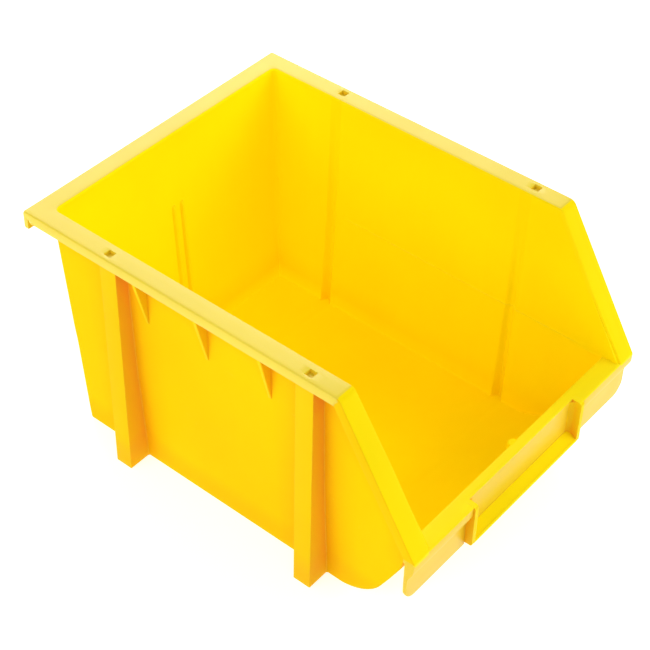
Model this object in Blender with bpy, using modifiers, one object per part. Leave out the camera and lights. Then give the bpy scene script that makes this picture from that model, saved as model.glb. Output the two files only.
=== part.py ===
# Stackable open-front picking bin, moulded in one yellow plastic, built as the separate
# features of the moulding: floor, walls, rim rails, stacking posts, rim gussets, front lip
# with its hanging apron, label holder and divider guides.
# The scene is in metres, +Z up; sizes below are in mm and angles in degrees.
# Origin: centre of the bounding box, on the plane the bin rests on.
# The front (the open, low side) faces -Y, and left is -X.
import math

import bmesh
import bpy
from mathutils import Matrix, Vector

# ---------------------------------------------------------------- driving sizes
MM_PER_M = 1000
WIDTH = 210.0            # across the rim
LENGTH = 280.0           # rear hanging rail to label holder front
HEIGHT = 162.5           # resting plane to rim top
WALL = 2.5               # wall, floor and flange thickness
GAP = 0.3                # clearance between neighbouring solids

HALF_W = WIDTH / 2
REAR = LENGTH / 2
FRONT = -LENGTH / 2
SIDES = ((-1, "left"), (1, "right"))

FLANGE_LOW = HEIGHT - WALL           # underside of the rim flanges
WALL_FOOT = WALL + GAP
WALL_HEAD = FLANGE_LOW - GAP

# side walls: half-width over the outer faces at the floor, the kink and the rim
KINK_Z = 77.0
SIDE_LOW, SIDE_KINK, SIDE_TOP = 88.4, 92.6, 95.0

# rear wall: y of the outer face at the floor and the rim
BACK_LOW, BACK_TOP = 119.8, 130.2
RETURN = 6.0                         # how far it returns along each side

# upright corners: crisp at the floor, their outer radius growing with height (mm per mm)
CORNER_MIN_R = 0.5
CORNER_R, CORNER_GROWTH = 4.5, 0.07
FRONT_CORNER_R, FRONT_CORNER_GROWTH = 1.0, 0.03
FRONT_INNER_SHARE = 0.6              # inner radius over outer radius

# front of the tub, side profile: floor tangent, scoop radius, then two straight runs
SCOOP_Y, SCOOP_R, SCOOP_END = -74.0, 38.0, math.radians(62.0)
SCOOP_STEPS = 8
SCOOP_MID_Z, LIP_Y, LIP_Z = 44.0, -129.9, 76.4
LIP_LOW = LIP_Z - WALL               # underside of the lip shelf
FLOOR_FRONT_Y = SCOOP_Y + GAP + 0.4

# rim
RIM_IN_TOP = SIDE_TOP - WALL         # inner edge of the level side rails
RIM_CORNER_Y = -86.4                 # where the level rails turn down the slope
SKIRT, SLOPE_SKIRT = 6.9, 6.4        # depth of the outer skirt, level and sloped
SKIRT_T = 2.2
SKIRT_IN = HALF_W - SKIRT_T          # inner face of the skirt
REAR_RAIL_FRONT_Y = REAR - 12.3
HOOK_DEPTH, HOOK_T = 12.0, 3.0       # rear hanging hook
LIP_FRONT_Y = -138.9                 # front of the lip and foot of the sloped rim

# front lip, apron and label holder
LIP_IN_Y = -127.4
LABEL_BACK_Y = -133.4
LABEL_HALF = 52.5
APRON_T = 2.4
LEDGE_BOTTOM = 45.2

NAME = "storage_bin"


# ---------------------------------------------------------------- scene set-up
for ob in list(bpy.data.objects):
    bpy.data.objects.remove(ob, do_unlink=True)

parts = bpy.data.collections.new(NAME)
cutters = bpy.data.collections.new(NAME + "_cutters")
bpy.context.scene.collection.children.link(parts)
bpy.context.scene.collection.children.link(cutters)


def plastic(name, colour, roughness):
    """Plain Principled plastic."""
    mat = bpy.data.materials.new(name)
    mat.use_nodes = True
    shader = mat.node_tree.nodes["Principled BSDF"]
    shader.inputs["Base Color"].default_value = (*colour, 1.0)
    shader.inputs["Roughness"].default_value = roughness
    shader.inputs["Metallic"].default_value = 0.0
    return mat


WALLS = plastic("yellow_wall_plastic", colour=(0.97, 0.67, 0.012), roughness=0.42)
RIMS = plastic("yellow_rim_plastic", colour=(0.98, 0.74, 0.05), roughness=0.36)
RIBS = plastic("yellow_rib_plastic", colour=(0.96, 0.62, 0.012), roughness=0.45)


# ---------------------------------------------------------------- shape helpers
def lerp(a, b, share):
    return a + (b - a) * share


def arc(centre_u, centre_v, radius, start, end, steps):
    """Points along an arc, from the start angle to the end angle in degrees."""
    angles = [math.radians(lerp(start, end, i / steps)) for i in range(steps + 1)]
    return [
        (centre_u + radius * math.cos(angle), centre_v + radius * math.sin(angle))
        for angle in angles
    ]


def new_object(name, mesh, mat):
    """Link a mesh as a part, or as a cutter when it has no material."""
    ob = bpy.data.objects.new(name, mesh)
    if mat:
        parts.objects.link(ob)
        mesh.materials.append(mat)
    else:
        cutters.objects.link(ob)
    return ob


def finish_mesh(mesh):
    """Weld, orient the faces outwards and shade smooth with sharp edges kept."""
    bm = bmesh.new()
    bm.from_mesh(mesh)
    bmesh.ops.remove_doubles(bm, verts=bm.verts, dist=0.00001)
    bmesh.ops.recalc_face_normals(bm, faces=bm.faces)
    bm.to_mesh(mesh)
    bm.free()
    mesh.shade_smooth()
    mesh.set_sharp_from_angle(angle=math.radians(30.0))


def bmesh_object(name, bm, mat):
    """Turn a bmesh into a finished part and free it."""
    mesh = bpy.data.meshes.new(name)
    bm.to_mesh(mesh)
    bm.free()
    finish_mesh(mesh)
    return new_object(name, mesh, mat)


def add_ring(bm, points):
    """Add vertices for (x, y, z) points in mm."""
    return [bm.verts.new(Vector(point) / MM_PER_M) for point in points]


def bridge(bm, low, high):
    """Join two closed rings of vertices with quads."""
    for i in range(len(low)):
        j = (i + 1) % len(low)
        bm.faces.new((low[i], low[j], high[j], high[i]))


X_AXIS, Y_AXIS, Z_AXIS = Vector((1, 0, 0)), Vector((0, 1, 0)), Vector((0, 0, 1))


def frame(u_axis, v_axis, x=0.0, y=0.0, z=0.0):
    """Placement of a plate from its outline's two axes and its centre plane."""
    matrix = Matrix((u_axis, v_axis, u_axis.cross(v_axis))).transposed().to_4x4()
    matrix.translation = Vector((x, y, z)) / MM_PER_M
    return matrix


def plate(name, outline, depth, placement, mat=None):
    """A flat outline filled and extruded to the given depth, half to each side."""
    curve = bpy.data.curves.new(name + "_outline", "CURVE")
    curve.dimensions = "2D"
    curve.fill_mode = "BOTH"
    curve.extrude = depth / 2 / MM_PER_M
    spline = curve.splines.new("POLY")
    spline.points.add(len(outline) - 1)
    for point, (u, v) in zip(spline.points, outline):
        point.co = (u / MM_PER_M, v / MM_PER_M, 0.0, 1.0)
    spline.use_cyclic_u = True
    guide = bpy.data.objects.new(name + "_outline", curve)
    bpy.context.scene.collection.objects.link(guide)
    bpy.context.view_layer.update()
    graph = bpy.context.evaluated_depsgraph_get()
    mesh = bpy.data.meshes.new_from_object(guide.evaluated_get(graph))
    bpy.data.objects.remove(guide, do_unlink=True)
    mesh.transform(placement)
    mesh.name = name
    finish_mesh(mesh)
    return new_object(name, mesh, mat)


def block(name, low, high, mat=None):
    """A box between its lowest and highest corners."""
    mesh = bpy.data.meshes.new(name)
    bm = bmesh.new()
    bmesh.ops.create_cube(bm, size=1.0)
    for vert in bm.verts:
        vert.co = [lerp(low[k], high[k], vert.co[k] + 0.5) / MM_PER_M for k in range(3)]
    bm.to_mesh(mesh)
    bm.free()
    return new_object(name, mesh, mat)


def cut(ob, cutter):
    """Boolean difference, with the cutter kept as a hidden wire object."""
    cutter.hide_render = True
    cutter.display_type = "WIRE"
    mod = ob.modifiers.new("cut_" + cutter.name, "BOOLEAN")
    mod.operation = "DIFFERENCE"
    mod.solver = "EXACT"
    mod.object = cutter


def bevel(ob, width):
    mod = ob.modifiers.new("rounded_edges", "BEVEL")
    mod.width = width / MM_PER_M
    mod.segments = 2
    mod.limit_method = "ANGLE"
    mod.angle_limit = math.radians(40.0)
    mod.harden_normals = False


# ---------------------------------------------------------------- tub surfaces
def side_out(z):
    """Half-width of the tub's outer face at height z."""
    if z < KINK_Z:
        return lerp(SIDE_LOW, SIDE_KINK, z / KINK_Z)
    return lerp(SIDE_KINK, SIDE_TOP, (z - KINK_Z) / (HEIGHT - KINK_Z))


def back_out(z):
    """y of the rear wall's outer face at height z."""
    return lerp(BACK_LOW, BACK_TOP, z / HEIGHT)


def rear_radii(z):
    """Outer and inner radius of the rear corners, a little thicker than the walls."""
    outer = max(CORNER_MIN_R, min(CORNER_R, CORNER_GROWTH * z))
    inner = max(CORNER_MIN_R, min(CORNER_R - 1.0, outer - 0.6))
    return outer, inner


def front_radius(z, inner):
    """Outer or inner radius of the front corners at height z."""
    outer = max(CORNER_MIN_R, min(FRONT_CORNER_R, FRONT_CORNER_GROWTH * z))
    return outer * (FRONT_INNER_SHARE if inner else 1.0)


def scoop_profile():
    """Outer (y, z) points up the tub's curved front, each paired with its inner point."""
    points = []
    for i in range(SCOOP_STEPS + 1):
        angle = SCOOP_END * i / SCOOP_STEPS
        y = SCOOP_Y - SCOOP_R * math.sin(angle)
        z = SCOOP_R * (1 - math.cos(angle))
        points.append(((y, z), (y + WALL * math.sin(angle), z + WALL * math.cos(angle))))

    # lower straight run, tangent to the scoop
    end_y, end_z = points[-1][0]
    low_lean = math.pi / 2 - SCOOP_END
    mid_y = end_y - (SCOOP_MID_Z - end_z) * math.tan(low_lean)
    high_lean = math.atan2(mid_y - LIP_Y, LIP_Z - SCOOP_MID_Z)
    mean_lean = (low_lean + high_lean) / 2
    mid_inner = (mid_y + WALL * math.cos(mean_lean), SCOOP_MID_Z + WALL * math.sin(mean_lean))
    points.append(((mid_y, SCOOP_MID_Z), mid_inner))

    # upper straight run, cut level just below the lip shelf
    top_z = LIP_LOW - GAP
    top_y = lerp(mid_y, LIP_Y, (top_z - SCOOP_MID_Z) / (LIP_Z - SCOOP_MID_Z))
    points.append(((top_y, top_z), (top_y + WALL / math.cos(high_lean), top_z)))
    return points


PROFILE = scoop_profile()

# slope of the side rims, as (y, z) vectors: down the slope, and square to it (down and
# into the bin)
SLOPE_RUN = Vector((LIP_FRONT_Y - RIM_CORNER_Y, LIP_Z - HEIGHT))
SLOPE = SLOPE_RUN.normalized()
SLOPE_IN = Vector((-SLOPE.y, SLOPE.x))
# shift along either rail per mm of depth, for a mitre at half of the turn between them
MITRE = math.tan(math.atan2(-SLOPE.y, -SLOPE.x) / 2)


def slope_y(z, depth):
    """y at height z on the slope line moved square to itself by depth."""
    start_y = RIM_CORNER_Y + SLOPE_IN.x * depth
    start_z = HEIGHT + SLOPE_IN.y * depth
    return start_y + (z - start_z) * SLOPE.x / SLOPE.y


# ---------------------------------------------------------------- floor and walls
def floor_panel():
    """Flat floor with square front corners and small rounded rear ones."""
    radius = 0.5
    outline = (
        [(-SIDE_LOW, FLOOR_FRONT_Y), (SIDE_LOW, FLOOR_FRONT_Y)]
        + arc(SIDE_LOW - radius, BACK_LOW - radius, radius, 0, 90, 3)
        + arc(-SIDE_LOW + radius, BACK_LOW - radius, radius, 90, 180, 3)
    )
    plate("floor_panel", outline, WALL, frame(X_AXIS, Y_AXIS, z=WALL / 2), WALLS)


def side_wall(name, side):
    """Flat slab with the scoop, the slope and the rail line in its outline, leaned out
    to the draft of the tub."""
    outline = [(back_out(z) - RETURN - GAP, z) for z in (WALL_FOOT, KINK_Z, WALL_HEAD)]
    front = [
        (y + front_radius(z, inner=True) + GAP, z)
        for _, (y, z) in PROFILE if z > WALL_FOOT + 0.2
    ]
    # the foot of the slope stands on the lip shelf, then steps down behind it
    over_lip = LIP_Z + GAP
    outline += [
        (slope_y(WALL_HEAD, WALL + GAP), WALL_HEAD),
        (slope_y(over_lip, WALL + GAP), over_lip),
        (LIP_IN_Y + GAP, over_lip),
        (LIP_IN_Y + GAP, LIP_LOW),
        (front[-1][0], LIP_LOW),
    ]
    outline += list(reversed(front))
    outline.append((FLOOR_FRONT_Y, WALL_FOOT))
    ob = plate(name, outline, WALL, frame(Y_AXIS, Z_AXIS), WALLS)
    for vert in ob.data.vertices:
        inset = WALL if vert.co.x < 0 else 0.0
        vert.co.x = side * (side_out(vert.co.z * MM_PER_M) - inset) / MM_PER_M
    finish_mesh(ob.data)


def rear_ring(z):
    """Plan of the rear wall at height z, with its two rounded corners and short returns."""
    steps = 5
    out_x, out_y = side_out(z), back_out(z)
    in_x, in_y = out_x - WALL, out_y - WALL
    out_r, in_r = rear_radii(z)
    return_y = out_y - RETURN
    outer = [(out_x, return_y)]
    outer += arc(out_x - out_r, out_y - out_r, out_r, 0, 90, steps)
    outer += arc(-out_x + out_r, out_y - out_r, out_r, 90, 180, steps)
    outer += [(-out_x, return_y)]
    inner = [(-in_x, return_y)]
    inner += arc(-in_x + in_r, in_y - in_r, in_r, 180, 90, steps)
    inner += arc(in_x - in_r, in_y - in_r, in_r, 90, 0, steps)
    inner += [(in_x, return_y)]
    return [(x, y, z) for x, y in outer + inner]


def rear_wall():
    """Loft up the wall, with levels where the corner radius and the side lean change."""
    levels = (WALL_FOOT, 8.0, 30.0, CORNER_R / CORNER_GROWTH, KINK_Z, WALL_HEAD)
    bm = bmesh.new()
    rings = [add_ring(bm, rear_ring(z)) for z in levels]
    for low, high in zip(rings, rings[1:]):
        bridge(bm, low, high)
    # each end is a strip of quads between the outer and inner lines
    for ring in (rings[0], rings[-1]):
        for i in range(len(ring) // 2 - 1):
            j = len(ring) - 1 - i
            bm.faces.new((ring[i], ring[i + 1], ring[j - 1], ring[j]))
    bmesh_object("rear_wall", bm, WALLS)


def front_row(y, z, half, radius):
    """One level of the scoop: round left corner, straight, round right corner."""
    left = arc(-half + radius, y + radius, radius, 180, 270, 4)
    row = [(x, row_y, z) for x, row_y in left]
    return row + [(-x, row_y, z) for x, row_y in reversed(left)]


def front_wall():
    """Loft between the scoop's outer and inner surfaces."""
    bm = bmesh.new()
    outer, inner = [], []
    for rows, which, inset in ((outer, 0, 0.0), (inner, 1, WALL)):
        for pair in PROFILE:
            y, z = pair[which]
            radius = front_radius(pair[0][1], inner=which == 1)
            rows.append(add_ring(bm, front_row(y, z, side_out(z) - inset, radius)))
    last_row, last_column = len(outer) - 1, len(outer[0]) - 1
    for i in range(last_row):
        for j in range(last_column):
            bm.faces.new((outer[i][j], outer[i][j + 1], outer[i + 1][j + 1], outer[i + 1][j]))
            bm.faces.new((inner[i][j], inner[i + 1][j], inner[i + 1][j + 1], inner[i][j + 1]))
        for j in (0, last_column):
            bm.faces.new((outer[i][j], outer[i + 1][j], inner[i + 1][j], inner[i][j]))
    for i in (0, last_row):
        for j in range(last_column):
            bm.faces.new((outer[i][j], outer[i][j + 1], inner[i][j + 1], inner[i][j]))
    bmesh_object("front_wall", bm, WALLS)


floor_panel()
for side, label in SIDES:
    side_wall(label + "_side_wall", side)
rear_wall()
front_wall()

# ---------------------------------------------------------------- rim rails
SOCKET = 4.8                         # square socket in the rim over each post
SOCKET_X = 99.5
SOCKET_Y = {"front": -64.0, "rear": 77.6}
SOCKET_OVERCUT = 2.0                 # how far the cutters pass the flange, up and down


def side_rail(name, side):
    """Level rail: flange over the wall head with a skirt down its outer edge."""
    section = [
        (RIM_IN_TOP, HEIGHT), (HALF_W, HEIGHT), (HALF_W, HEIGHT - SKIRT),
        (SKIRT_IN, HEIGHT - SKIRT), (SKIRT_IN, FLANGE_LOW), (RIM_IN_TOP, FLANGE_LOW),
    ]
    front_y = RIM_CORNER_Y + GAP
    rear_y = REAR_RAIL_FRONT_Y - GAP - 0.1
    placement = frame(X_AXIS, Z_AXIS, y=(rear_y + front_y) / 2)
    ob = plate(name, section, rear_y - front_y, placement, RIMS)
    for vert in ob.data.vertices:
        if vert.co.y < 0:
            vert.co.y += (HEIGHT / MM_PER_M - vert.co.z) * MITRE
        vert.co.x *= side
    finish_mesh(ob.data)
    x = side * SOCKET_X
    for where, y in SOCKET_Y.items():
        cut(ob, block(
            f"{name}_socket_{where}",
            (x - SOCKET / 2, y - SOCKET / 2, FLANGE_LOW - SOCKET_OVERCUT),
            (x + SOCKET / 2, y + SOCKET / 2, HEIGHT + SOCKET_OVERCUT),
        ))


def sloped_rim(name, side):
    """Rail down the slope of the side wall, mitred against the level rail above."""
    # section columns: x, depth square to the slope
    section = [
        (RIM_IN_TOP, 0), (HALF_W, 0), (HALF_W, SLOPE_SKIRT),
        (SKIRT_IN, SLOPE_SKIRT), (SKIRT_IN, WALL), (RIM_IN_TOP, WALL),
    ]
    foot = SLOPE_RUN.length - GAP - 0.4

    def head_travel(depth):
        return GAP + depth * MITRE

    def foot_travel(depth):
        """Distance down the slope, trimmed to stay above the lip's top face."""
        return min(foot, (HEIGHT + SLOPE_IN.y * depth - (LIP_Z + GAP)) / -SLOPE.y)

    bm = bmesh.new()
    rings = []
    for travel_at in (head_travel, foot_travel):
        points = []
        for x, depth in section:
            travel = travel_at(depth)
            y = RIM_CORNER_Y + SLOPE.x * travel + SLOPE_IN.x * depth
            z = HEIGHT + SLOPE.y * travel + SLOPE_IN.y * depth
            # the inner edge follows the leaning wall
            rim_x = side_out(z) - WALL if x == RIM_IN_TOP else x
            points.append((side * rim_x, y, z))
        rings.append(add_ring(bm, points))
    bridge(bm, *rings)
    for ring in rings:
        bm.faces.new(ring)
    bmesh.ops.recalc_face_normals(bm, faces=bm.faces)
    bmesh.ops.triangulate(bm, faces=[face for face in bm.faces if len(face.verts) > 4])
    bmesh_object(name, bm, RIMS)


def rear_hanging_rail():
    """Flange with a hook lip down its rear edge."""
    section = [
        (REAR_RAIL_FRONT_Y, HEIGHT), (REAR, HEIGHT), (REAR, HEIGHT - HOOK_DEPTH),
        (REAR - HOOK_T, HEIGHT - HOOK_DEPTH), (REAR - HOOK_T, FLANGE_LOW),
        (REAR_RAIL_FRONT_Y, FLANGE_LOW),
    ]
    ob = plate("rear_hanging_rail", section, WIDTH, frame(Y_AXIS, Z_AXIS), RIMS)
    bevel(ob, 0.8)


for side, label in SIDES:
    side_rail(label + "_rim_rail", side)
    sloped_rim(label + "_sloped_rim", side)
rear_hanging_rail()

# ---------------------------------------------------------------- posts and gussets
POST_X = 103.6                       # outer face at the foot
POST_W = 12.0
POST_Y = {"rear": 76.9, "front": -62.7}
GUSSET_Y = (56.6, 12.1, -32.9)       # front faces
GUSSET_T = 2.4
GUSSET_TIP_Z = 120.0
GUSSET_TIP_W = 0.6


def stacking_post(name, side, y):
    """Post between the side wall and the skirt. Its inner face leans with the wall, and
    its outer face leans in towards the rim to clear the inside of the skirt."""
    foot_in = SIDE_LOW + GAP
    post = block(
        name, (foot_in, y - POST_W / 2, 0), (POST_X, y + POST_W / 2, WALL_HEAD), RIBS,
    )
    middle = (foot_in + POST_X) / 2 / MM_PER_M
    bm = bmesh.new()
    bm.from_mesh(post.data)
    bmesh.ops.bisect_plane(
        bm, geom=bm.verts[:] + bm.edges[:] + bm.faces[:],
        plane_co=(0, 0, KINK_Z / MM_PER_M), plane_no=Z_AXIS,
    )
    for vert in bm.verts:
        z = vert.co.z * MM_PER_M
        if vert.co.x < middle:
            x = side_out(z) + GAP
        else:
            x = lerp(POST_X, SKIRT_IN - GAP, z / WALL_HEAD)
        vert.co.x = side * x / MM_PER_M
    bm.to_mesh(post.data)
    bm.free()
    finish_mesh(post.data)


def rim_gusset(name, side, front_y):
    """Upright web under a side rail, tapering down to a blunt tip on the wall."""
    tip_x = side_out(GUSSET_TIP_Z) + GAP
    outline = [
        (side_out(WALL_HEAD) + GAP, WALL_HEAD), (SKIRT_IN - GAP, WALL_HEAD),
        (SKIRT_IN - GAP, HEIGHT - SKIRT),
        (tip_x + GUSSET_TIP_W, GUSSET_TIP_Z), (tip_x, GUSSET_TIP_Z),
    ]
    placement = frame(X_AXIS, Z_AXIS, y=front_y + GUSSET_T / 2)
    ob = plate(name, outline, GUSSET_T, placement, RIBS)
    for vert in ob.data.vertices:
        vert.co.x *= side
    finish_mesh(ob.data)


for side, label in SIDES:
    for where, y in POST_Y.items():
        stacking_post(f"stacking_post_{where}_{label}", side, y)
for side, label in SIDES:
    for i, y in enumerate(GUSSET_Y, 1):
        rim_gusset(f"rim_gusset_{label}_{i}", side, y)

# ---------------------------------------------------------------- front lip and apron
APRON_Y = -135.2                     # front face of the hanging apron
APRON_BOTTOM = 43.2
APRON_R = 8.5                        # rounded lower outer corners
LIP_R = 2.5                          # rolled front edge of the lip


def front_lip_shelf():
    """Shelf over the front wall, full width, flush in front with the label's backing."""
    section = [
        (LIP_IN_Y, LIP_LOW), (LIP_IN_Y, LIP_Z), (LABEL_BACK_Y, LIP_Z), (LABEL_BACK_Y, LIP_LOW),
    ]
    plate("front_lip_shelf", section, WIDTH, frame(Y_AXIS, Z_AXIS), RIMS)


def apron_section():
    """Rolled front of the lip, turning down into the apron that hangs clear of the scoop."""
    apron_back_y = APRON_Y + APRON_T
    return [
        (LABEL_BACK_Y - GAP, LIP_LOW), (LABEL_BACK_Y - GAP, LIP_Z),
        *arc(LIP_FRONT_Y + LIP_R, LIP_Z - LIP_R, LIP_R, 90, 180, 4),
        (LIP_FRONT_Y + 0.4, 69.0), (APRON_Y - 1.2, 64.0), (APRON_Y, 60.0),
        (APRON_Y, APRON_BOTTOM), (apron_back_y, APRON_BOTTOM),
        (apron_back_y, 60.0), (apron_back_y - 1.0, 65.0), (APRON_Y + 0.2, LIP_LOW - 0.4),
    ]


def front_apron(label, side):
    """Apron beside the label holder, with its lower outer corner rounded off."""
    inner = LABEL_HALF + GAP
    placement = frame(Y_AXIS, Z_AXIS, x=side * (inner + HALF_W) / 2)
    apron = plate(f"front_apron_{label}", apron_section(), HALF_W - inner, placement, RIMS)

    overcut = 6.0
    centre_x, centre_z = side * (HALF_W - APRON_R), APRON_BOTTOM + APRON_R
    start, end = (272, 358) if side > 0 else (268, 182)
    corner = [
        (side * (HALF_W + overcut), APRON_BOTTOM - overcut),
        (centre_x - side * 0.8, APRON_BOTTOM - overcut),
        *arc(centre_x, centre_z, APRON_R, start, end, 6),
        (side * (HALF_W + overcut), centre_z + 2.0),
    ]
    placement = frame(X_AXIS, Z_AXIS, y=APRON_Y)
    cut(apron, plate(f"apron_corner_{label}", corner, 30.0, placement))


front_lip_shelf()
for side, label in SIDES:
    front_apron(label, side)

# ---------------------------------------------------------------- label holder
LABEL_BAR = 3.0                      # width of the end bars
LABEL_FACE_Y = LABEL_BACK_Y - GAP    # where the bars and ledge meet the backing
LEDGE_TOP = 51.5
LEDGE_FALL = 3.5                     # drop of the ledge's top towards the front


def label_holder_back():
    """Backing panel set back under the shelf."""
    block(
        "label_holder_back",
        (-LABEL_HALF, LABEL_BACK_Y, LEDGE_BOTTOM),
        (LABEL_HALF, LABEL_BACK_Y + APRON_T, LIP_LOW - GAP), RIMS,
    )


def label_holder_bar(label, side):
    """Upright bar at one end of the backing."""
    low_x, high_x = sorted((side * (LABEL_HALF - LABEL_BAR), side * LABEL_HALF))
    bar = block(
        f"label_holder_{label}_bar",
        (low_x, FRONT, LEDGE_BOTTOM), (high_x, LABEL_FACE_Y, LIP_Z), RIMS,
    )
    bevel(bar, 0.6)


def label_holder_ledge():
    """Ledge between the bars along the bottom, its top sloping down to the front."""
    section = [
        (LABEL_FACE_Y, LEDGE_BOTTOM), (LABEL_FACE_Y, LEDGE_TOP),
        (FRONT, LEDGE_TOP - LEDGE_FALL), (FRONT, LEDGE_BOTTOM),
    ]
    length = 2 * (LABEL_HALF - LABEL_BAR - GAP)
    plate("label_holder_ledge", section, length, frame(Y_AXIS, Z_AXIS), RIMS)


label_holder_back()
for side, label in SIDES:
    label_holder_bar(label, side)
label_holder_ledge()

# ---------------------------------------------------------------- divider guides
RIB_X, RIB_W = 3.5, 1.6
RIB_FOOT, RIB_TOP = WALL_FOOT + 0.2, 113.0
RIB_FOOT_DEPTH, RIB_TOP_DEPTH = 2.2, 0.5
GUIDE_R, GUIDE_LENGTH = 3.2, 16.0


def rear_divider_rib(label, side):
    """Tapering rib on the rear wall's inner face."""
    foot_y = back_out(RIB_FOOT) - WALL - GAP
    top_y = back_out(RIB_TOP) - WALL - GAP
    outline = [
        (foot_y - RIB_FOOT_DEPTH, RIB_FOOT), (foot_y, RIB_FOOT),
        (top_y, RIB_TOP), (top_y - RIB_TOP_DEPTH, RIB_TOP),
    ]
    placement = frame(Y_AXIS, Z_AXIS, x=side * RIB_X)
    plate(f"rear_divider_rib_{label}", outline, RIB_W, placement, WALLS)


def front_divider_guide():
    """Half-round guide at the lip's inner edge, running out into the sloping front wall."""
    low, high = (Vector((0, *inner)) for _, inner in PROFILE[-2:])
    run = (high - low).normalized()
    into_bin = Vector((0, run.z, -run.y))
    lip_edge = Vector((0, LIP_IN_Y + GAP, 0))
    centre = Vector((0, lip_edge.y, LIP_Z - GUIDE_LENGTH / 2)) / MM_PER_M
    radius = GUIDE_R / MM_PER_M
    bm = bmesh.new()
    bmesh.ops.create_cone(
        bm, cap_ends=True, segments=20, radius1=radius, radius2=radius,
        depth=GUIDE_LENGTH / MM_PER_M, matrix=Matrix.Translation(centre),
    )
    # trim against the lip's edge, then against the front wall
    for point, normal in ((lip_edge, -Y_AXIS), (low + into_bin * GAP, -into_bin)):
        bmesh.ops.bisect_plane(
            bm, geom=bm.verts[:] + bm.edges[:] + bm.faces[:],
            plane_co=point / MM_PER_M, plane_no=normal, clear_outer=True,
        )
        bmesh.ops.holes_fill(bm, edges=[edge for edge in bm.edges if edge.is_boundary])
    bmesh_object("front_divider_guide", bm, RIMS)


for side, label in SIDES:
    rear_divider_rib(label, side)
front_divider_guide()
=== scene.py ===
"""Stackable open-front storage bin: detailed meshes, plastics, stage, lights and camera.

The bin stands on z = 0, centred on x = 0. Its open front faces -Y, its rear wall is at +Y
and its right side at +X. The tub and the rim are each one continuous surface; the posts,
gussets, lip, label holder and guides are pieces of their own.
Geometry is worked out in millimetres and written in metres. Materials, lights and camera
are in metres.
"""
import math
from contextlib import contextmanager

import bmesh
import bpy
from mathutils import Matrix, Vector


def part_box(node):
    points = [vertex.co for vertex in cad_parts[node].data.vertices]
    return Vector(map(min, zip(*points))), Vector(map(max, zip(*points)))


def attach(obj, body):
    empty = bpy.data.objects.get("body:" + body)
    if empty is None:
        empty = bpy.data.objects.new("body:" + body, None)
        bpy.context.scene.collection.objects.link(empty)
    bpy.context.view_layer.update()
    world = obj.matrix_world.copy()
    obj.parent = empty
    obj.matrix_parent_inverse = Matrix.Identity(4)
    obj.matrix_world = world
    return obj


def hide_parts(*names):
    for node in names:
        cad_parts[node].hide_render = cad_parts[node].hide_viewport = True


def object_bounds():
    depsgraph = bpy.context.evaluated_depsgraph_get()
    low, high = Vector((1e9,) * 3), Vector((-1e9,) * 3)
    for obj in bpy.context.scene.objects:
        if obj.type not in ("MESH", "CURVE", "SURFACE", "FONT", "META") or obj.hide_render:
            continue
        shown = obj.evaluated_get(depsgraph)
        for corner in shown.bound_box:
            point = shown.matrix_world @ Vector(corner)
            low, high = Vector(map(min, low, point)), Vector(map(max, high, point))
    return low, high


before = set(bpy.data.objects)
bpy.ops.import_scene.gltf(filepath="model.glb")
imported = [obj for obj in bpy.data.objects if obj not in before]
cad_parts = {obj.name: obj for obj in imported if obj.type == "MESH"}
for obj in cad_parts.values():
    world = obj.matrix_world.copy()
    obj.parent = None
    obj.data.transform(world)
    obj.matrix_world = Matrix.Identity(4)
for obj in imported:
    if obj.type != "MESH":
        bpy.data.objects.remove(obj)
CAD_LOW, CAD_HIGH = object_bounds()


# ------------------------------------------------------------------ driving sizes, in mm
def box(node):
    """Low and high corner of a CAD piece."""
    low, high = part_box(node)
    return low * 1000, high * 1000


def middle(low, high):
    return (low + high) / 2


FLOOR_HIGH = box("floor_panel")[1]
RAIL_LOW = box("right_rim_rail")[0]
SHELF_LOW, SHELF_HIGH = box("front_lip_shelf")
APRON_LOW = box("front_apron_left")[0]
REAR_WALL_HIGH = box("rear_wall")[1]

HALF_WIDTH, REAR, HEIGHT = CAD_HIGH * 1000
FRONT = CAD_LOW.y * 1000
WALL = FLOOR_HIGH.z
RAIL_GAP = 0.3                   # from a CAD rail's front end to the rim's corner

# outer faces of the walls; the side walls change slope at the kink
RIM_INNER_X = RAIL_LOW.x
SIDE_LOW = FLOOR_HIGH.x
SIDE_KINK = SIDE_LOW + 4.2
SIDE_TOP = RIM_INNER_X + WALL
KINK_Z = 77.0
BACK_LOW = FLOOR_HIGH.y
BACK_TOP = BACK_LOW + (REAR_WALL_HIGH.y - BACK_LOW) * HEIGHT / REAR_WALL_HIGH.z
REAR_CORNER, CORNER_GROWTH = 4.5, 0.07
FRONT_CORNER = 1.0

# rim and the plate hanging from its rear
RIM_CORNER_Y = RAIL_LOW.y - RAIL_GAP
SKIRT_DEPTH = HEIGHT - RAIL_LOW.z
SLOPE_SKIRT = SKIRT_DEPTH - 0.5
SKIRT_THICK = 2.2
HOOK_LOW = box("rear_hanging_rail")[0].z
HOOK_THICK = 3.0

# front lip, its apron and the label recess
LIP_Z = SHELF_HIGH.z
LIP_FRONT_Y = APRON_LOW.y
LIP_Y = -129.9                   # outer face of the front wall at lip height
APRON_Y = -135.2
APRON_THICK = 2.4
APRON_BOTTOM = APRON_LOW.z
APRON_RADIUS = 8.5
LABEL_BACK_Y = SHELF_LOW.y
LABEL_HALF = box("label_holder_right_bar")[1].x

# scooped foot of the front wall: arc centre, radius, end angle, and the next bend
SCOOP_Y, SCOOP_RADIUS, SCOOP_END, SCOOP_BEND_Z = -74.0, 38.0, 62.0, 44.0

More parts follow.
